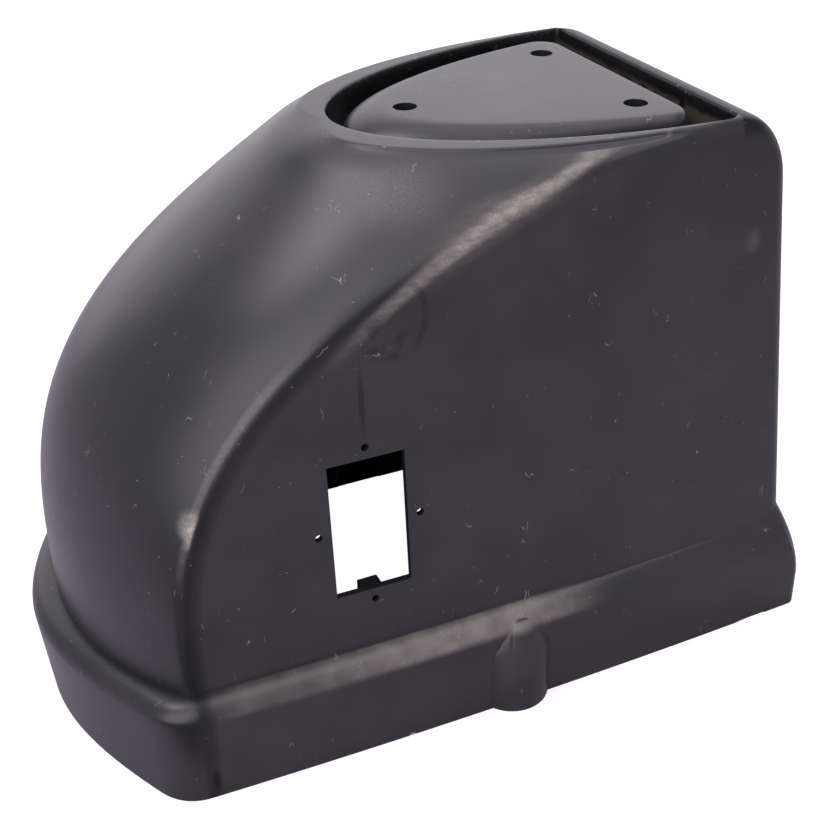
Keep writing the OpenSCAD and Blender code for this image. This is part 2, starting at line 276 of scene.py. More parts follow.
def body_d(z, g):
    """The body's D at height z, set in by g."""
    return {
        "nose": nose_y(z) + g,
        "corner": ridge_y(z) + g / 2,
        "rear": rear_y(z) - g,
        "half": body_half(z) - g,
        "round": RIDGE_ROUND,
        "radius": np.maximum(RADIUS_LEAST, BODY_REAR_R - g),
        "conic": np.sin(np.radians(arc_angle(z))) ** 2,
        "arc": arc_angle(z),
    }


def quarter(w, h, z):
    """How far a quarter ellipse draws in: its width times one minus the root of 1 minus over squared."""
    over = clamp((z - COVER_H + h) / h)
    return w * (1 - np.sqrt(1 - over**2))


# The rounding under the rim is broad at the nose tip, crisp from CRISP_J on, and tall past TALL_J
CRISP_J, TALL_J, TALL_RUN = 4, 11, 6


def edge_in(z, j):
    """A broad rounding, cut short by a crisp edge between the nose tip and the ridges."""
    tall = ease((j - TALL_J) / TALL_RUN)
    w = mix(mix(NOSE_ROUND_W, RIM_ROUND_W, ease(j / CRISP_J)), SIDE_ROUND_W, tall)
    crisp = ease(j / CRISP_J) * (1 - tall)
    level = mix(z, np.minimum(z, COVER_H - RIM_EDGE), crisp)
    return quarter(w, mix(NOSE_ROUND_H, SIDE_ROUND_H, tall), level) + quarter(RIM_EDGE * crisp, RIM_EDGE, z)


def body_at(z, j):
    """The body at height z, drawn in by its rounded edge just under the rim."""
    e = edge_in(z, j)
    plain = body_d(z, 0.0)
    far_x, far_y = outline(plain, j)
    x, y = outline(body_d(z, e), j)
    behind = j >= SIDE_J
    x = np.where(behind, far_x * (1 - e / plain["half"]), x)
    y = np.where(behind, far_y, np.minimum(y, rear_y(z)))
    return x, y


print("at the rim, nose y", round(float(nose_y(COVER_H)), 1), "rear y", round(float(rear_y(COVER_H)), 1))

# %% [markdown]
# ## The top
# The rim opening and the platform are ovals with a straight rear. Each is a superellipse of its
# own exponent, and is given the same spacing as the body's top edge, so that the rim between
# them is a band of tidy faces.

# %% Outlines of the top
TOP_D = body_d(np.array(COVER_H), 0.0)
TOP_END = float(outline(TOP_D, np.array(SIDE_J))[1])


def top_at(t, j):
    """t = (half width, nose y, rear y, rear radius, exponent). Across: root of 1 minus a power of the way."""
    half, front, back, radius, power = t
    length = back - front
    last_x = half * math.sqrt(1 - (radius / length) ** power)
    share = (outline(TOP_D, np.minimum(j, SIDE_J))[1] - TOP_D["nose"]) / (TOP_END - TOP_D["nose"])
    y = mix(front, back - radius, share)
    side_x = half * np.sqrt(np.maximum(0, 1 - ((back - y) / length) ** power))
    angle = np.pi / 2 * clamp((j - SIDE_J) / (CORNER_J - SIDE_J))
    rear_x = (last_x - radius) * clamp((REAR_J - j) / (REAR_J - CORNER_J))
    where = [j <= SIDE_J, j <= CORNER_J]
    x = np.select(where, [side_x, last_x - radius * (1 - np.cos(angle))], rear_x)
    y = np.select(where, [y, back - radius * (1 - np.sin(angle))], back + 0 * j)
    return x, y


def rim_t(g):
    """The rim opening, set in by g."""
    return RIM_W / 2 - g, RIM_BACK_Y - RIM_LEN + g, RIM_BACK_Y - g, RIM_CORNER + max(0, -g), RIM_POWER


def flat_t(g):
    """The platform's flat top, set in by g."""
    front = PLATFORM_BACK_Y - PLATFORM_FLAT
    return PLATFORM_W / 2 - g, front + g, PLATFORM_BACK_Y - g, PLATFORM_R - g, FLAT_POWER


def foot_t(g):
    """The platform's foot in the moat, set in by g. It reaches further forward than the top."""
    front = PLATFORM_BACK_Y - PLATFORM_FOOT
    return PLATFORM_W / 2 - g, front + g, PLATFORM_BACK_Y - g, PLATFORM_R - g, FOOT_POWER


PLATFORM_EDGE = 6.0
EDGE_SHARE = 0.3


def platform_at(s, j):
    """From the flat top (s = 0) to the side (s = 1) along a quarter ellipse, wide at the nose."""
    top_x, top_y = top_at(flat_t(PLATFORM_EDGE / 2), j)
    foot_x, foot_y = top_at(foot_t(-PLATFORM_EDGE / 2), j)
    h = PLATFORM_EDGE + EDGE_SHARE * np.hypot(foot_x - top_x, foot_y - top_y)
    across = np.sin(np.pi / 2 * s)
    z = COVER_H - h * (1 - np.cos(np.pi / 2 * s))
    return mix(top_x, foot_x, across), mix(top_y, foot_y, across), z


print("rim opening", RIM_W, "x", RIM_LEN, "mm, platform", PLATFORM_W, "x", PLATFORM_FLAT, "mm")

# %% [markdown]
# ## The inner skin
# Inside, the wall is about 4 mm thick all over. The skin starts with the skirt's spacing and ends
# with the rim's, so the points slide along the outline as it rises. Under the moat it turns in,
# runs back down behind the moat's wall and up again inside the platform.

# %% The inner skin
# Where each stretch of half a D starts and ends, and how many points it has
STRETCHES = [(0, NOSE_J, 62), (NOSE_J, RIDGE_J, 14), (RIDGE_J, SIDE_J, 52), (SIDE_J, CORNER_J, 12)]
REAR_STRETCH = (CORNER_J, REAR_J, 20)
COLUMNS = np.concatenate(
    [np.linspace(*stretch, endpoint=False) for stretch in STRETCHES] + [np.linspace(*REAR_STRETCH)]
)
SIDE_COUNT = int(np.searchsorted(COLUMNS, SIDE_J)) + 1
SKIN_LIFT = 3.0
HOLLOW_MIN, HOLLOW_MAX, HOLLOW_START, HOLLOW_SHARE = 1.0, MOAT_DEPTH - WALL, 10.0, 0.75


def shares(x, y):
    """How far along a line of points each point is, as a fraction of its length."""
    lengths = np.concatenate([[0], np.cumsum(np.hypot(np.diff(x), np.diff(y)))])
    return lengths / lengths[-1]


RIM_SHARES = shares(*[v[:SIDE_COUNT] for v in top_at(rim_t(0), COLUMNS)])


def skin_ring(z):
    """The body's D a wall further in, with its points moved along towards the rim's spacing."""
    x, y = outline(body_d(z + SKIN_LIFT, WALL), COLUMNS)
    front_x, front_y = x[:SIDE_COUNT], y[:SIDE_COUNT]
    own = shares(front_x, front_y)
    at = mix(own, RIM_SHARES, float(ease((z - FOOT_Z) / (UNDER_Z - FOOT_Z))))
    x[:SIDE_COUNT] = np.interp(at, own, front_x)
    y[:SIDE_COUNT] = np.interp(at, own, front_y)
    return x, y


def skin_at(z):
    """The inner skin where each column has its own height."""
    levels = np.array([skin_ring(level) for level in z])
    own = np.arange(len(z))
    return levels[own, 0, own], levels[own, 1, own]


RIM_X, RIM_Y = top_at(rim_t(0), COLUMNS)
LOW_X, LOW_Y = skin_ring(UNDER_Z)
GAP = np.hypot(LOW_X - RIM_X, LOW_Y - RIM_Y)
HOLLOW_Z = UNDER_Z + mix(HOLLOW_MIN, HOLLOW_MAX, clamp((GAP - HOLLOW_START) / HOLLOW_START))
HIGH_X, HIGH_Y = skin_at(HOLLOW_Z)
BACK_SHARE = np.minimum(HOLLOW_SHARE, WALL / np.hypot(HIGH_X - RIM_X, HIGH_Y - RIM_Y))
print("hollow under the rim is", round(float(HOLLOW_Z.max() - UNDER_Z), 1), "mm high at most")


# %% [markdown]
# ## One grid for the whole moulding
# The rings run from the middle of the platform over the edge, through the moat, over the rim, down
# the body and the skirt, and back up inside. Rings lie close where the form turns sharply.

# %% Kinds of ring
def ring(x, y, z):
    """Points side by side, at one height or each at its own."""
    return np.stack([x, y, np.broadcast_to(z, x.shape)], axis=-1)


def top_ring(t, z):
    """An outline of the top at a height."""
    return ring(*top_at(t, COLUMNS), z)


def body_ring(z):
    """The body at a height."""
    return ring(*body_at(z, COLUMNS), z)


def skirt_ring(g, z):
    """The skirt at a height, set in by g."""
    return ring(*outline(skirt_d(z, g), COLUMNS), z)


# Where along j the shoulder drops at the side, lifts at the rear and grows softer, and over what run
DROP_J, DROP_RUN, LIFT_J, LIFT_RUN, SOFT_J, SOFT_RUN = 18.5, 3, 22, 2.5, 17, 6
SOFT_POWER = 1.7
TO_REAR = ease((COLUMNS - LIFT_J) / LIFT_RUN)
SHOULDER_LOW = SKIRT_H - SIDE_DROP * ease((COLUMNS - DROP_J) / DROP_RUN) - REAR_DROP * TO_REAR
SHOULDER_HIGH = FOOT_Z + REAR_LIFT * TO_REAR


def shoulder_ring(s, g=0.0):
    """A quarter round along the front; towards the rear corners it starts lower and grows softer."""
    low_x, low_y = outline(skirt_d(SKIRT_H, g), COLUMNS)
    high_x, high_y = outline(body_d(SHOULDER_HIGH, g), COLUMNS)
    t = mix(1 - math.sqrt(max(0.0, 1 - s * s)), s**SOFT_POWER, ease((COLUMNS - SOFT_J) / SOFT_RUN))
    return ring(mix(low_x, high_x, t), mix(low_y, high_y, t), mix(SHOULDER_LOW, SHOULDER_HIGH, s) - g)


DISC_START = 0.02


def disc(edge, count):
    """Rings that shrink from a flat edge towards its middle, nearly to a point."""
    middle = np.array([0.0, edge[:, 1].mean(), edge[0, 2]])
    return [mix(middle, edge, t) for t in np.linspace(DISC_START, 1, count, endpoint=False)]


print("shoulder from", round(float(SHOULDER_LOW.min()), 1), "to", round(float(SHOULDER_HIGH.max()), 1), "mm")

# %% Stack the rings
# How many rings each stretch has
DISC_RINGS, PLATFORM_RINGS, DROP_RINGS, MOAT_RINGS, CRISP_RINGS, ROUND_RINGS = 14, 12, 8, 8, 8, 12
BODY_RINGS, SHOULDER_RINGS, SKIRT_RINGS, SKIN_RINGS, UNDER_RINGS = 90, 16, 5, 26, 6
DROP_START, MOAT_LEAN, MOAT_STEPS, RIM_STEPS = 0.15, 1.0, (0.33, 0.67), 5
LIP_DEGREES = (30, 60, 90)
BODY_START, BODY_SPREAD = 0.012, 1.35
SKIN_TOP_Z = UNDER_Z - 6
INNER_SHOULDER = (0.0, 0.5)


def top_rings():
    """From the middle of the platform over its edge, across the moat, up its wall and over the lip."""
    platform = [ring(*platform_at(s, COLUMNS)) for s in np.linspace(0, 1, PLATFORM_RINGS)]
    rings = disc(platform[0], DISC_RINGS) + platform
    side = platform[-1]
    for t in np.linspace(DROP_START, 1, DROP_RINGS):
        level = side.copy()
        level[:, 2] = mix(side[:, 2], MOAT_Z, t)
        rings.append(level)
    foot, floor = rings[-1], top_ring(rim_t(MOAT_LEAN), MOAT_Z)
    rings += [mix(foot, floor, t) for t in MOAT_STEPS]
    for t in np.linspace(0, 1, MOAT_RINGS):
        rings.append(top_ring(rim_t(MOAT_LEAN * (1 - t)), mix(MOAT_Z, COVER_H - RIM_LIP_R, t)))
    for a in np.radians(LIP_DEGREES):
        out, down = RIM_LIP_R * (1 - math.cos(a)), RIM_LIP_R * (1 - math.sin(a))
        rings.append(top_ring(rim_t(-out), COVER_H - down))
    lip, edge = rings[-1], body_ring(COVER_H)
    return rings + [mix(lip, edge, t / RIM_STEPS) for t in range(1, RIM_STEPS)]


def outer_rings():
    """From the rim down the body, over the shoulder and down the skirt."""
    crisp_z, round_z = COVER_H - RIM_EDGE, COVER_H - NOSE_ROUND_H
    turn = np.sin(np.linspace(math.pi / 2, 0, CRISP_RINGS))
    rings = [body_ring(COVER_H - RIM_EDGE * (1 - s)) for s in turn]
    rings += [body_ring(mix(crisp_z, round_z, t)) for t in np.linspace(0, 1, ROUND_RINGS)[1:]]
    ways = np.linspace(BODY_START, 1, BODY_RINGS)[:-1] ** BODY_SPREAD
    rings += [body_ring(mix(round_z, SHOULDER_HIGH, t)) for t in ways]
    rings += [shoulder_ring(s) for s in np.sin(np.linspace(math.pi / 2, 0, SHOULDER_RINGS))]
    return rings + [skirt_ring(0.0, SHOULDER_LOW * (t / SKIRT_RINGS)) for t in range(SKIRT_RINGS)[::-1]]


def inner_rings():
    """Up the inner skin, into the hollow under the rim, down behind the moat and under the platform."""
    rings = [skirt_ring(WALL, 0)] + [shoulder_ring(s, WALL) for s in INNER_SHOULDER]
    rings += [ring(*skin_ring(z), z) for z in np.linspace(FOOT_Z - WALL, SKIN_TOP_Z, SKIN_RINGS)]
    halfway = (HOLLOW_Z + SKIN_TOP_Z) / 2
    back = [mix(RIM_X, HIGH_X, BACK_SHARE), mix(RIM_Y, HIGH_Y, BACK_SHARE)]
    rings += [ring(*skin_at(halfway), halfway), ring(HIGH_X, HIGH_Y, HOLLOW_Z)]
    rings += [ring(*back, HOLLOW_Z), ring(*back, UNDER_Z)]
    rings += [top_ring(foot_t(WALL), UNDER_Z), top_ring(foot_t(WALL), MOAT_Z)]
    rings.append(top_ring(flat_t(WALL), COVER_H - WALL))
    return rings + disc(rings[-1], UNDER_RINGS)[::-1]


def mesh_object(name, points, faces):
    """An object at the origin from points in millimetres and their faces."""
    mesh = bpy.data.meshes.new(name)
    mesh.from_pydata((np.array(points) * MM).tolist(), [], faces)
    mesh.update()
    obj = bpy.data.objects.new(name, mesh)
    bpy.context.scene.collection.objects.link(obj)
    return obj


def grid_object(name, rings):
    """Mirrors the half rings, joins them with quads, and closes the first and last ring."""
    half = np.array(rings)
    other = half[:, -2:0:-1] * [-1, 1, 1]
    points = np.concatenate([half, other], axis=1)
    count, n = points.shape[:2]
    i, j = np.meshgrid(np.arange(count - 1), np.arange(n), indexing="ij")
    a, b = i * n + j, i * n + (j + 1) % n
    quads = np.stack([a, a + n, b + n, b], axis=-1).reshape(-1, 4)
    ends = [np.arange(n).tolist(), (np.arange(n)[::-1] + (count - 1) * n).tolist()]
    return mesh_object(name, points.reshape(-1, 3), quads.tolist() + ends)


cover = grid_object("moulded_cover", top_rings() + outer_rings() + inner_rings())
print("grid of", len(cover.data.vertices), "points and", len(cover.data.polygons), "faces")

# %% [markdown]
# ## Bumps, bosses and openings
# The half-round bumps and the screw bosses are simple solids that join the wall, and the window
# and holes are simple solids taken away. A boolean does both on the finished grid.

# %% Sizes of the bumps, the window and the holes
BUMP_R, BUMP_OUT, BUMP_H, BUMP_TOP, BUMP_Y, BUMP_CAP = 23.0, 9.8, 40.0, 60.0, 262.8, 3.0
WINDOW_W, WINDOW_H, WINDOW_Z, WINDOW_Y = 45.0, 84.0, 148.5, 175.4
SCREW_D, SCREW_SPAN_Y, SCREW_SPAN_Z = 4.5, 60.0, 98.0
BOSS_W, BOSS_REACH = 12.0, 9.0
FIXING_D, FIXING_SPAN, FIXING_REAR, FIXING_REACH = 14.0, 111.0, 20.5, 118.0
ROUND_STEPS = 96
BUMP_AT = TIP_Y + BUMP_Y
BUMP_AXIS = bowed(SKIRT_W / 2, BUMP_AT) - BUMP_R + BUMP_OUT
BUMP_NECK = BUMP_R - BUMP_OUT
WINDOW_AT = TIP_Y + WINDOW_Y
FIXING_Y = PLATFORM_BACK_Y - FIXING_REAR


# The box that trims a bump off inside the wall, and the angle past which an edge is sharp
TRIM_HALF, TRIM_LOW, TRIM_HIGH = 30, -5, 70
SHARP_DEGREES = 35


def wall_x(y, z):
    """The outside of the side wall: half the width at that height, less the bow."""
    return bowed(body_half(z), y)


def block(name, low, high):
    """A box between two corners, with its faces pointing outwards."""
    x, y, z = zip(low, high)
    points = [(x[i], y[j], z[k]) for i in (0, 1) for j in (0, 1) for k in (0, 1)]
    faces = [(0, 1, 3, 2), (4, 6, 7, 5), (0, 4, 5, 1), (2, 3, 7, 6), (0, 2, 6, 4), (1, 5, 7, 3)]
    return mesh_object(name, points, faces)


def turned(name, profile, origin, along_x=False):
    """A closed profile of (radius, height) turned about a vertical axis, or about one along X."""
    profile = np.array(profile, float)
    angles = np.linspace(0, 2 * np.pi, ROUND_STEPS, endpoint=False)
    around = np.stack([np.cos(angles), np.sin(angles)], axis=-1)
    flat = profile[:, None, :1] * around[None]
    up = np.broadcast_to(profile[:, None, 1:], flat.shape[:2] + (1,))
    points = np.concatenate([flat, up], axis=-1)
    if along_x:
        points = points[..., [2, 0, 1]]
    rows, n = len(profile), ROUND_STEPS
    i, j = np.meshgrid(np.arange(rows - 1), np.arange(n), indexing="ij")
    quads = np.stack([i * n + j, i * n + (j + 1) % n, (i + 1) * n + (j + 1) % n, (i + 1) * n + j], axis=-1)
    ends = [list(range(n))[::-1], [(rows - 1) * n + k for k in range(n)]]
    return mesh_object(name, points.reshape(-1, 3) + origin, quads.reshape(-1, 4).tolist() + ends)


def combine(target, tools, operation):
    """Joins tools to the target, or cuts them out of it, and removes them."""
    for tool in tools:
        step = target.modifiers.new("step", "BOOLEAN")
        step.operation = operation
        step.solver = "EXACT"
        step.object = tool
        bpy.context.view_layer.objects.active = target
        bpy.ops.object.modifier_apply(modifier=step.name)
        bpy.data.objects.remove(tool)


# %% Join the bumps and bosses, then cut the openings
CAP_POINT = (BUMP_NECK - BUMP_CAP, BUMP_TOP + BUMP_CAP)
BUMP_PROFILE = [(BUMP_R, 0), (BUMP_R, BUMP_H), (BUMP_NECK, BUMP_TOP), CAP_POINT]
HOLLOW_PROFILE = [(BUMP_R - WALL, -1), (BUMP_R - WALL, BUMP_H), (BUMP_NECK - WALL, BUMP_TOP - 1)]
bumps, hollows = [], []
for side in (-1, 1):
    centre = (side * BUMP_AXIS, BUMP_AT, 0)
    bump = turned("bump", BUMP_PROFILE, centre)
    inner = side * (BUMP_AXIS + BUMP_NECK - WALL / 2)
    x = sorted([inner, inner - side * 3 * BUMP_R])
    low, high = (x[0], BUMP_AT - TRIM_HALF, TRIM_LOW), (x[1], BUMP_AT + TRIM_HALF, TRIM_HIGH)
    combine(bump, [block("inside", low, high)], "DIFFERENCE")
    bumps.append(bump)
    hollows.append(turned("hollow", HOLLOW_PROFILE, centre))
bosses = []
for end in (-1, 1):
    z = WINDOW_Z + end * SCREW_SPAN_Z / 2
    x = wall_x(WINDOW_AT, z + SKIN_LIFT) - WALL
    low = (x - BOSS_REACH, WINDOW_AT - BOSS_W / 2, z - BOSS_W / 2)
    bosses.append(block("boss", low, (x + WALL / 2, WINDOW_AT + BOSS_W / 2, z + BOSS_W / 2)))
combine(cover, bumps + bosses, "UNION")

window_x = wall_x(WINDOW_AT, WINDOW_Z)
cuts = [
    block(
        "window",
        (window_x - 4 * WALL, WINDOW_AT - WINDOW_W / 2, WINDOW_Z - WINDOW_H / 2),
        (window_x + 4 * WALL, WINDOW_AT + WINDOW_W / 2, WINDOW_Z + WINDOW_H / 2),
    )
]
for end in (-1, 1):
    for y, z in (
        (WINDOW_AT, WINDOW_Z + end * SCREW_SPAN_Z / 2),
        (WINDOW_AT + end * SCREW_SPAN_Y / 2, WINDOW_Z),
    ):
        reach = 2 * WALL + BOSS_REACH
        hole = [(SCREW_D / 2, -reach), (SCREW_D / 2, 2 * WALL)]
        cuts.append(turned("screw_hole", hole, (wall_x(y, z), y, z), along_x=True))
for x, y in ((0, FIXING_Y - FIXING_REACH), (-FIXING_SPAN / 2, FIXING_Y), (FIXING_SPAN / 2, FIXING_Y)):
    hole = [(FIXING_D / 2, -2 * WALL), (FIXING_D / 2, WALL)]
    cuts.append(turned("fixing_hole", hole, (x, y, COVER_H)))
combine(cover, hollows + cuts, "DIFFERENCE")
cover.data.shade_smooth()
cover.data.set_sharp_from_angle(angle=math.radians(SHARP_DEGREES))
print("cover after cutting:", len(cover.data.vertices), "points", len(cover.data.polygons), "faces")

# %% [markdown]
# ## Where the wear goes
# Wear follows form: the ridges are rubbed pale, the shoulder gathers dust, and the moat keeps dirt.
# Masks painted by hand would fit one mesh only. So each point gets a few numbers that say where it
# is on the form, and the material reads them by name.

# %% Read and store numbers for each point
def store(name, values):
    """Writes one number for each point of the cover."""
    layer = cover.data.attributes.new(name, "FLOAT", "POINT")
    layer.data.foreach_set("value", np.asarray(values, np.float32))


def read_points(items, field):
    """A row of three numbers for each point: its place or its normal."""
    values = np.empty(len(cover.data.vertices) * 3, np.float32)
    items.foreach_get(field, values)
    return values.reshape(-1, 3).astype(float)


points = read_points(cover.data.vertices, "co") / MM
normals = read_points(cover.data.vertex_normals, "vector")
print("read", len(points), "places and normals")

# %% How far each point is from the ridge and from the rim
SLOPE_STEP = 0.25


def ridge_distance(p):
    """Distance to the ridge at the same height, times the cosine of its slope; minus on the nose side."""
    z = np.minimum(p[:, 2], COVER_H - 2 * SLOPE_STEP)
    slope = (ridge_y(z + SLOPE_STEP) - ridge_y(z - SLOPE_STEP)) / (2 * SLOPE_STEP)
    dx, dy = wall_x(ridge_y(z), z) - np.abs(p[:, 0]), p[:, 1] - ridge_y(z)
    return np.where(dy > 0, dy, -np.hypot(dx, dy)) / np.sqrt(1 + slope**2)


def rim_distance(p):
    """How far outside the rim opening a point lies in plan, from the superellipse that it follows."""
    half, front, back, _, power = rim_t(0)
    side = half * np.sqrt(1 - clamp((back - p[:, 1]) / (back - front)) ** power)
    before = np.maximum(0, front - p[:, 1])
    beside = np.maximum(np.abs(p[:, 0]) - side, p[:, 1] - back)
    return np.where(before > 0, np.hypot(p[:, 0], before), beside)


from_ridge, from_rim = ridge_distance(points), rim_distance(points)
store("ridge_mm", from_ridge)
store("rim_mm", from_rim)
print("from the ridge:", round(from_ridge.min()), "to", round(from_ridge.max()), "mm")

# %% Which points are outside, and which are in the moat
BODY_MIDDLE_Y = 60
MOAT_LOW, MOAT_HIGH, MOAT_OUT = MOAT_Z - 0.5, COVER_H - 0.4, 0.6
MOAT_WALL_BAND, MOAT_FLOOR_BAND = 2.5, 1.0

height = points[:, 2]
outward = normals[:, 0] * points[:, 0] + normals[:, 1] * (points[:, 1] - BODY_MIDDLE_Y)
outside = (height > UNDER_Z) | (outward > 0)
in_opening = (height > MOAT_LOW) & (height < MOAT_HIGH) & (from_rim < MOAT_OUT)
in_moat = in_opening & ((from_rim > -MOAT_WALL_BAND) | (height < MOAT_Z + MOAT_FLOOR_BAND))
store("shown", outside)
store("moat", in_moat)
print("points on the outside:", int(outside.sum()), "in the moat:", int(in_moat.sum()))

# %% [markdown]
# ## A material written as formulas
# A worn surface is plain plastic under thin layers, and each layer has a mask. Blender keeps a mask's
# formula as many small nodes, which are hard to read one by one. Here a field stands for a number
# that varies over the surface, and plus, minus and times on fields add those nodes.

# %% Colours, nodes and fields
def rgb(text):
    """An sRGB hex colour turned to linear light."""
    parts = [int(text[i : i + 2], 16) / 255 for i in (1, 3, 5)]
    return tuple(c / 12.92 if c <= 0.04045 else ((c + 0.055) / 1.055) ** 2.4 for c in parts) + (1.0,)


def add_node(tree, kind, settings=(), inputs=()):
    """One node with its settings. An input takes a plain value, or is linked to a field or an output."""
    new = tree.nodes.new(kind)
    for key, value in dict(settings).items():
        setattr(new, key, value)
    for key, value in dict(inputs).items():
        value = getattr(value, "output", value)
        if isinstance(value, bpy.types.NodeSocket):
            tree.links.new(value, new.inputs[key])
        else:
            new.inputs[key].default_value = value
    return new


class Field:
    """A number that varies over the surface. Arithmetic with numbers and other fields gives a new one."""

    kind = "ShaderNodeMath"

    def __init__(self, output):
        self.output = output

    def work_out(self, operation, *values):
        """One node that does an operation on the values, as a new field."""
        new = add_node(self.output.id_data, self.kind, {"operation": operation}, dict(enumerate(values)))
        return type(self)(new.outputs[0])

    def __add__(self, other):
        return self.work_out("ADD", self, other)

    def __sub__(self, other):
        return self.work_out("SUBTRACT", self, other)

    def __rsub__(self, other):
        return self.work_out("SUBTRACT", other, self)

    def __mul__(self, other):
        return self.work_out("MULTIPLY", self, other)

    def __lt__(self, other):
        return self.work_out("LESS_THAN", self, other)

    def __abs__(self):
        return self.work_out("ABSOLUTE", self)

    def at_most(self, other):
        """The lower of this field and another value."""
        return self.work_out("MINIMUM", self, other)

    def at_least(self, *others):
        """The highest of this field and the others."""
        highest = self
        for other in others:
            highest = highest.work_out("MAXIMUM", highest, other)
        return highest


class Place(Field):
    """Three such numbers together, worked out axis by axis."""

    kind = "ShaderNodeVectorMath"

    def length(self):
        """The root of the sum of the three squares."""
        new = add_node(self.output.id_data, self.kind, {"operation": "LENGTH"}, {0: self})
        return Field(new.outputs["Value"])


# %% Start the plastic and read the place and the stored numbers
plastic = bpy.data.materials.new("black_moulded_plastic")
plastic.use_nodes = True
tree = plastic.node_tree
object_place = Place(add_node(tree, "ShaderNodeTexCoord").outputs["Object"])
at = object_place * ([1 / MM] * 3)
x, y, z = map(Field, add_node(tree, "ShaderNodeSeparateXYZ", {}, {0: at}).outputs)
ridge, rim, moat, shown = (
    Field(add_node(tree, "ShaderNodeAttribute", {"attribute_name": name}).outputs["Fac"])
    for name in ("ridge_mm", "rim_mm", "moat", "shown")
)
print("fields for the place, the ridge, the rim, the moat and the outside")

# %% [markdown]
# ## Patterns
# Dirt and dust are cloudy, a speck sits in one cell in many of a cell pattern, and a fine scratch is
# the line where a cloudy pattern crosses its middle value. All sizes are millimetres on the cover.

# %% Patterns
NOISE_ROUGHNESS = 0.55
OFFSET_TURN = (1, 0.7, 1.3)
EVEN = (1, 1, 1)
HAIR_DETAIL, HAIR_MIDDLE, HAIR_CORE = 1.5, 0.5, 0.3
SPECK_CORE = 0.4
ANY = math.inf


def soft(field, start, end):
    """A smooth step from 0 at the start to 1 at the end, whichever of the two is higher."""
    rising = start < end
    ends = {"From Min": min(start, end), "From Max": max(start, end)}
    ends |= {"To Min": 0.0 if rising else 1.0, "To Max": 1.0 if rising else 0.0}
    smooth = {"interpolation_type": "SMOOTHSTEP"}
    return Field(add_node(tree, "ShaderNodeMapRange", smooth, {"Value": field, **ends}).outputs["Result"])


def cloudy(size, detail, stretch=EVEN, offset=0.0):
    """A pattern from 0 to 1 with blobs about size across, longer by stretch along each axis."""
    where = at * [1 / (size * s) for s in stretch] + [offset * turn for turn in OFFSET_TURN]
    inputs = {"Vector": where, "Scale": 1.0, "Detail": detail, "Roughness": NOISE_ROUGHNESS}
    return Field(add_node(tree, "ShaderNodeTexNoise", {}, inputs).outputs["Fac"])


def specks(size, share, radius, stretch=EVEN, offset=0.0):
    """Dots in some cells of a pattern with cells of that size; share is how many cells have one."""
    where = at * [1 / (size * s) for s in stretch] + [offset] * 3
    cells = add_node(tree, "ShaderNodeTexVoronoi", {}, {"Vector": where, "Scale": 1.0})
    chance = Field(add_node(tree, "ShaderNodeSeparateColor", {}, {0: cells.outputs["Color"]}).outputs[0])
    return soft(Field(cells.outputs["Distance"]), radius, radius * SPECK_CORE) * (chance < share)


def hairs(size, width, stretch, offset):
    """Thin curved lines where a cloudy pattern is within width of its middle value."""
    off = abs(cloudy(size, HAIR_DETAIL, stretch, offset) - HAIR_MIDDLE)
    return soft(off, width, width * HAIR_CORE)


def away(centre, size):
    """Distance from a point with each axis divided by its size; the size ANY leaves its axis out."""
    return ((at - centre) * [1 / s for s in size]).length()


def spot(centre, size, softness):
    """1 in the middle of an ellipsoid and 0 outside it, with an edge as wide as its softness."""
    return soft(away(centre, size), 1.0, 1.0 - softness)


def strip(field, middle, outer, inner):
    """1 where a field is within inner of a middle value, and 0 where it is outer away or more."""
    return soft(abs(field - middle), outer, inner)


clouds, patchy = cloudy(55, 4), cloudy(14, 4, offset=3)
fine, grain = cloudy(0.9, 2, offset=11), cloudy(2.2, 4, offset=7)
print("cloudy patterns of 55, 14, 2.2 and 0.9 mm")

# %% [markdown]
# ## Black moulded plastic
# The plastic is nearly black, and most of what the eye sees is its satin sheen, strong at a glance
# along the surface and weak straight on. The black itself is faintly uneven, and the moat is
# painted darker as painted shade.

# %% The bare plastic
def laid_over(colour, mask, text):
    """A hex colour laid over a colour where the mask is 1."""
    inputs = {0: mask, 6: colour, 7: rgb(text)}
    return add_node(tree, "ShaderNodeMix", {"data_type": "RGBA"}, inputs).outputs[2]


colour = laid_over(rgb("#1a1a1d"), soft(clouds, 0.4, 0.65), "#1f1e22")
# painted shade: the moat is painted darker to stand for the shade that falls in it
colour = laid_over(colour, moat, "#0c0c0d")
print("bare plastic,", len(tree.nodes), "nodes so far")

# %% [markdown]
# ## Dirt in the moat
# Brown dirt clings to the moat's rear wall and stops raggedly short of the rim, so the height that
# it reaches is moved up and down by a cloudy pattern.

# %% Dirt in the moat
DIRT_TOP, DIRT_BOTTOM, DIRT_RAGGED = 336, 332, 8
DIRT_START_Y, DIRT_FULL_Y = 168, 171
DIRT_STRENGTH = 0.85

dirt = moat * soft(patchy, 0.34, 0.55) * soft(z + patchy * DIRT_RAGGED, DIRT_TOP, DIRT_BOTTOM)
dirt = dirt * soft(y, DIRT_START_Y, DIRT_FULL_Y) * DIRT_STRENGTH
colour = laid_over(colour, dirt, "#4b4741")
print("dirt from y", DIRT_START_Y, "mm back")

# %% [markdown]
# ## Dust and haze
# Dust settles on the shoulder, more towards the middle, and lies as a bare film on the sides. The
# crown of the nose is hazy from being touched, and there is a pale patch by the rear edge.

# %% Dust and haze
SHOULDER_FROM, SHOULDER_FULL, SHOULDER_THIN, SHOULDER_END = 52, 58, 66.5, 69
DUST_START_Y, DUST_ALONG_Y, DUST_THIN_Y, DUST_END_Y = -172, -140, 30, 95
CROWN_AT, CROWN_SIZE = (78, -22, 320), (34, 40, 26)
PALE_AT, PALE_SIZE = (110, 184, 265), (12, 8, 11)

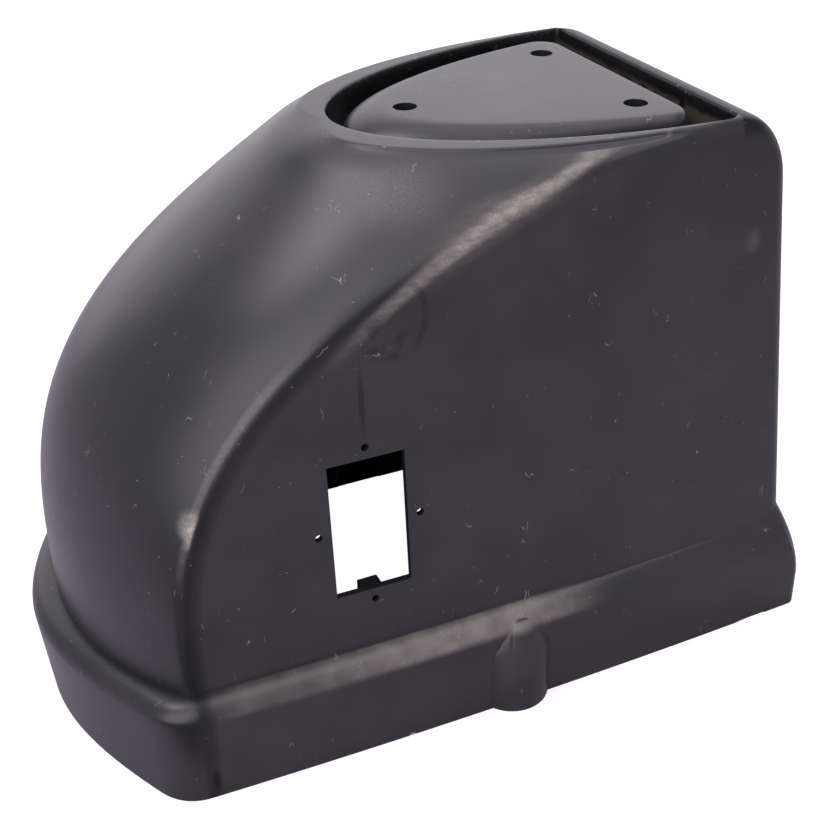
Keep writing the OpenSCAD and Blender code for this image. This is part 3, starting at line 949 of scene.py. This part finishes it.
on_side = soft(ridge, 0, 6) * shown * soft(z, 337, 333)
film = on_side * (soft(clouds, 0.35, 0.7) * 0.008 + 0.004)
shoulder = soft(z, SHOULDER_FROM, SHOULDER_FULL) * soft(z, SHOULDER_END, SHOULDER_THIN) * shown
along = soft(y, DUST_START_Y, DUST_ALONG_Y) * soft(y, DUST_END_Y, DUST_THIN_Y)
thicker = soft(y, -130, -20) * 0.6 + 0.4
settled = shoulder * along * thicker * (patchy * 0.9 + 0.05) * 0.5
crown = spot(CROWN_AT, CROWN_SIZE, 0.9) * soft(fine, 0, 0.9) * 0.14
pale_patch = spot(PALE_AT, PALE_SIZE, 0.9) * patchy * 0.12
haze = film + settled + crown + pale_patch
colour = laid_over(colour, haze, "#b0a8a2")
print("dust from z", SHOULDER_FROM, "to", SHOULDER_END, "mm")

# %% [markdown]
# ## Rubbed ridges
# The upper ridge is rubbed pale in a streaky band that draws nearer to it as it rises, and the
# lower one in a thin line. A scuffed spot sits low on the front ridge.

# %% Rubbed ridges
BAND_FOOT, BAND_SLOPE, BAND_HALF, WIDE_HALF = 73.0, 0.236, 5.5, 12
NARROW_FROM, NARROW_FULL, NARROWER = 316, 331, 1.3
LINE_AT, LINE_HALF = -3.0, 3.0
SCUFF_AT, SCUFF_SIZE = (114, -158, 170), (20, 10, 16)
STREAK_SIZE, STREAK_DETAIL, STREAK_STRETCH, STREAK_OFFSET = 4, 5, (1, 2.0, 0.7), 5

upper = soft(z, 240, 300) * soft(y, 160, 60)
off_band = abs(ridge - (BAND_FOOT - z * BAND_SLOPE)) * (soft(z, NARROW_FROM, NARROW_FULL) * NARROWER + 1)
band = soft(off_band, BAND_HALF, 0.5) * upper * 0.5
wide = soft(off_band, WIDE_HALF, 1) * upper * soft(y, -45, 20) * soft(y, 80, 35) * 0.2
thin = strip(ridge, LINE_AT, LINE_HALF, 0.5) * soft(z, 130, 165) * soft(z, 262, 235) * 0.16
scuffed = spot(SCUFF_AT, SCUFF_SIZE, 0.8) * soft(patchy, 0.3, 0.55) * soft(ridge, 1.5, -1.5) * 0.8
streaks = soft(cloudy(STREAK_SIZE, STREAK_DETAIL, STREAK_STRETCH, STREAK_OFFSET), 0.3, 0.7) * 0.45 + 0.55
rub = (band + wide + thin + scuffed) * streaks * (fine * 0.9 + 0.45) * shown * soft(rim, 0, 3)
colour = laid_over(colour, rub.at_most(0.9), "#a9a29b")
print("rubbed band", 2 * BAND_HALF, "mm wide and line", 2 * LINE_HALF, "mm wide")

# %% [markdown]
# ## Grease
# Above the window there is a dark smear with a curl beside it and a run below it, and a dark scrape
# is at the front corner. They lie on the side with the window only, so X is part of their mask.

# %% Grease
SMEAR_AT, SMEAR_SIZE = (0, -44, 258), (ANY, 26, 17)
RUN_AT, RUN_SIZE = (0, -62, 224), (ANY, 2.6, 26)
CURL_AT, CURL_R, CURL_HALF = (0, -48, 268), 25, 3.0
SCRAPE_AT, SCRAPE_SIZE = (133, -167, 12), (8, 3.4, 12)

smear = spot(SMEAR_AT, SMEAR_SIZE, 0.5) * soft(patchy, 0.5, 0.38) * 0.55
run = spot(RUN_AT, RUN_SIZE, 0.7) * 0.8
curl = strip(away(CURL_AT, (ANY, 1, 1)), CURL_R, CURL_HALF, 0.2)
curl = curl * soft(y, -34, -26) * soft(z, 240, 250) * 0.5
scrape = spot(SCRAPE_AT, SCRAPE_SIZE, 0.7) * soft(fine, 0.3, 0.6) * 0.8
grease = (smear.at_least(run, curl) * on_side * soft(x, -20, 20)).at_least(scrape)
colour = laid_over(colour, grease * 0.6, "#0d0d0f")
print("smear", 2 * SMEAR_SIZE[1], "mm long, curl of radius", CURL_R, "mm")

# %% [markdown]
# ## Small marks
# Light specks, hair lines and short nicks lie all over, dust clings to the inner edge of the rim,
# pale flecks gather at the front corner, and one chip is in the lower edge. The finest are drawn a
# little coarser than real ones, so that they show.

# %% Small marks
RIM_DUST_AT, RIM_DUST_HALF = 1.6, 2.2
FLECKS_AT, FLECKS_SIZE = (130, -163, 40), (26, 30, 44)
CHIP_AT, CHIP_SIZE = (135.8, -47.3, 0.6), (3, 2.6, 1.4)

dots = specks(6, 0.06, 0.09, offset=2).at_least(specks(3, 0.05, 0.14, (1, 1.6, 1), 9))
lines = hairs(26, 0.0035, (1, 1, 1.4), 4) * soft(cloudy(8, 1, offset=31), 0.69, 0.73) * 0.7
nicks = hairs(9, 0.009, (0.6, 1, 2.5), 14) * soft(cloudy(13, 1, offset=41), 0.69, 0.73)
rim_dust = strip(rim, RIM_DUST_AT, RIM_DUST_HALF, 0.6) * specks(3.5, 0.22, 0.3, offset=17)
flecks = spot(FLECKS_AT, FLECKS_SIZE, 0.7) * specks(2.6, 0.16, 0.16, (1, 1.8, 1), 23)
chip = spot(CHIP_AT, CHIP_SIZE, 0.4) * 1.6
marks = dots.at_least(lines, nicks, rim_dust, flecks, chip) * shown * 0.32
colour = laid_over(colour, marks, "#b9b4ad")
print("all layers,", len(tree.nodes), "nodes")

# %% [markdown]
# ## Sheen and grain
# Grease dulls the sheen. Along the rounded ridge and the rear edge the sheen is turned down, which
# paints dark lines of painted shade along them. Dust and rubbing roughen the surface, and the
# moulding's fine grain breaks it up.

# %% Sheen and grain
PLAIN_SHEEN = 0.5
TURN_LOW, TURN_DROP, TURN_HALF = 5.0, 6.0, 7
PLAIN_ROUGH, CLOUD_ROUGH, HAZE_ROUGH, RUB_ROUGH, GREASE_SMOOTH = 0.28, 0.12, 0.25, 0.25, 0.08
GRAIN_DEPTH, GRAIN_STRENGTH = 0.00006, 0.25

turn = TURN_LOW - soft(z, 245, 285) * TURN_DROP
# painted shade: the sheen is turned down near the ridge to paint a dark line along it
ridge_painted_shade = soft(abs(ridge - turn), TURN_HALF, 1) * shown * soft(z, 305, 260) * (1 - rub) * 0.3
# painted shade: the sheen is turned down on the rear edge to paint a darker band there
rear_painted_shade = soft(y, 172, 174) * soft(z, 322, 335) * 0.42
sheen = PLAIN_SHEEN - (grease * 0.22 + ridge_painted_shade + rear_painted_shade)
rough = clouds * CLOUD_ROUGH + haze * HAZE_ROUGH + rub * RUB_ROUGH - grease * GREASE_SMOOTH + PLAIN_ROUGH
relief = {"Height": grain * 0.5 + fine * 0.25 + patchy * 1.2}
relief |= {"Strength": GRAIN_STRENGTH, "Distance": GRAIN_DEPTH}
bump = add_node(tree, "ShaderNodeBump", {}, relief)
shader = tree.nodes["Principled BSDF"]
tree.links.new(colour, shader.inputs["Base Color"])
tree.links.new(sheen.output, shader.inputs["Specular IOR Level"])
tree.links.new(rough.output, shader.inputs["Roughness"])
tree.links.new(bump.outputs["Normal"], shader.inputs["Normal"])

cover.data.materials.clear()
cover.data.materials.append(plastic)
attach(cover, BODY)
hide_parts(NODE)
print("material", plastic.name, "with", len(tree.nodes), "nodes")

# %% [markdown]
# ## Floor and background
# The photo is cut out on white, with a soft shadow. A floor that glows to the camera alone gives
# that white and still takes the shadow. A brighter card inside the cover is the white behind the
# window, and a dark card under the hollow of the far bump is painted shade there. A dark cloth
# that shows only in reflections darkens the line along the ridge.

# %% Cards on the floor
FLOOR_HALF = 3000
INSIDE_LOW, INSIDE_HIGH, INSIDE_Z = (-132.5, -160), (132.5, 210), 0.5
CLOTH_LOW, CLOTH_HIGH, CLOTH_Z = (160, -1600), (1700, -170), 1
INNER_X, SHADE_Z, SHADE_POINTS = 132.0, 0.8, 24
SHADE_R = BUMP_R - WALL / 2
PAPER_ROUGHNESS = 0.9


def flat_card(name, low, high, z):
    """A level rectangle between two corners."""
    corners = [(low[0], low[1], z), (high[0], low[1], z), (high[0], high[1], z), (low[0], high[1], z)]
    return mesh_object(name, corners, [(0, 1, 2, 3)])


def half_disc(name):
    """The part of a disc under the far bump that lies past the inner face of the side wall."""
    reach = math.acos((INNER_X - BUMP_AXIS) / SHADE_R)
    turns = np.linspace(math.pi - reach, math.pi + reach, SHADE_POINTS)
    edge = [(SHADE_R * math.cos(a) - BUMP_AXIS, SHADE_R * math.sin(a) + BUMP_AT, SHADE_Z) for a in turns]
    return mesh_object(name, edge, [tuple(range(len(edge)))])


def paper(name, text, glow=0.0):
    """Matt paper that glows to the camera and is plain to all other rays."""
    mat = bpy.data.materials.new(name)
    mat.use_nodes = True
    to_camera = Field(add_node(mat.node_tree, "ShaderNodeLightPath").outputs["Is Camera Ray"])
    shader = mat.node_tree.nodes["Principled BSDF"]
    shader.inputs["Base Color"].default_value = rgb(text)
    shader.inputs["Roughness"].default_value = PAPER_ROUGHNESS
    shader.inputs["Emission Color"].default_value = (1, 1, 1, 1)
    mat.node_tree.links.new((to_camera * glow).output, shader.inputs["Emission Strength"])
    return mat


floor = flat_card("floor", (-FLOOR_HALF, -FLOOR_HALF), (FLOOR_HALF, FLOOR_HALF), 0)
floor.data.materials.append(paper("floor_paper", "#b2adb7", 0.62))
inside = flat_card("paper_inside", INSIDE_LOW, INSIDE_HIGH, INSIDE_Z)
inside.data.materials.append(paper("inside_paper", "#f4f4f4", 1.0))
# painted shade: a dark card under the hollow of the far bump stands for the shade there
gap = half_disc("shade_behind_far_bump")
gap.data.materials.append(paper("shaded_paper", "#181819"))
dark = flat_card("dark_ground", CLOTH_LOW, CLOTH_HIGH, CLOTH_Z)
dark.data.materials.append(paper("dark_ground_cloth", "#303033"))
dark.visible_camera = dark.visible_diffuse = dark.visible_shadow = False
print("four cards on the floor")

# %% [markdown]
# ## Light
# The light is soft and faintly violet. A long backdrop behind and a large lamp overhead make the
# broad sheens, a key lamp left of the camera lights the side and the front, and a small lamp high
# in front makes the pale patch on the crown. The room is dim, but white to the camera.

# %% Lamps and the room
LAMP_TINT = (0.98, 0.94, 1.0)
LAMP_AIM = (0, 0, 0.17)
ROOM_LIGHT = 0.6
# Each lamp's place and size in metres, and how bright it looks
LAMPS = {
    "backdrop": ((-1.75, 0.45, 0.9), (4.2, 1.8), 0.9),
    "overhead": ((0.05, 0.35, 2.4), (3.2, 3.2), 1.3),
    "nose_lamp": ((-0.28, -1.05, 2.25), (0.75, 0.6), 7.5),
    "key_lamp": ((1.25, -1.25, 1.0), (2.0, 2.1), 2.3),
}


def make_lamp(name, place, size, radiance):
    """A soft rectangular lamp. Its power is pi times its area times how bright it looks."""
    data = bpy.data.lights.new(name, "AREA")
    data.shape = "RECTANGLE"
    data.size, data.size_y = size
    data.energy = math.pi * size[0] * size[1] * radiance
    data.color = LAMP_TINT
    lamp = bpy.data.objects.new(name, data)
    bpy.context.scene.collection.objects.link(lamp)
    lamp.location = place
    lamp.rotation_mode = "QUATERNION"
    lamp.rotation_quaternion = (Vector(LAMP_AIM) - Vector(place)).to_track_quat("-Z", "Y")
    lamp.visible_camera = False


def make_room():
    """A world that is white to the camera and a dim tint to all other rays."""
    world = bpy.data.worlds.new("studio")
    world.use_nodes = True
    bpy.context.scene.world = world
    to_camera = add_node(world.node_tree, "ShaderNodeLightPath").outputs["Is Camera Ray"]
    dim = tuple(ROOM_LIGHT * part for part in LAMP_TINT) + (1.0,)
    inputs = {0: to_camera, 6: dim, 7: (1, 1, 1, 1)}
    room = add_node(world.node_tree, "ShaderNodeMix", {"data_type": "RGBA"}, inputs)
    world.node_tree.links.new(room.outputs[2], world.node_tree.nodes["Background"].inputs["Color"])


for name, (place, size, radiance) in LAMPS.items():
    make_lamp(name, place, size, radiance)
make_room()
bpy.context.scene.view_settings.view_transform = "Standard"
print("lamps:", ", ".join(LAMPS))
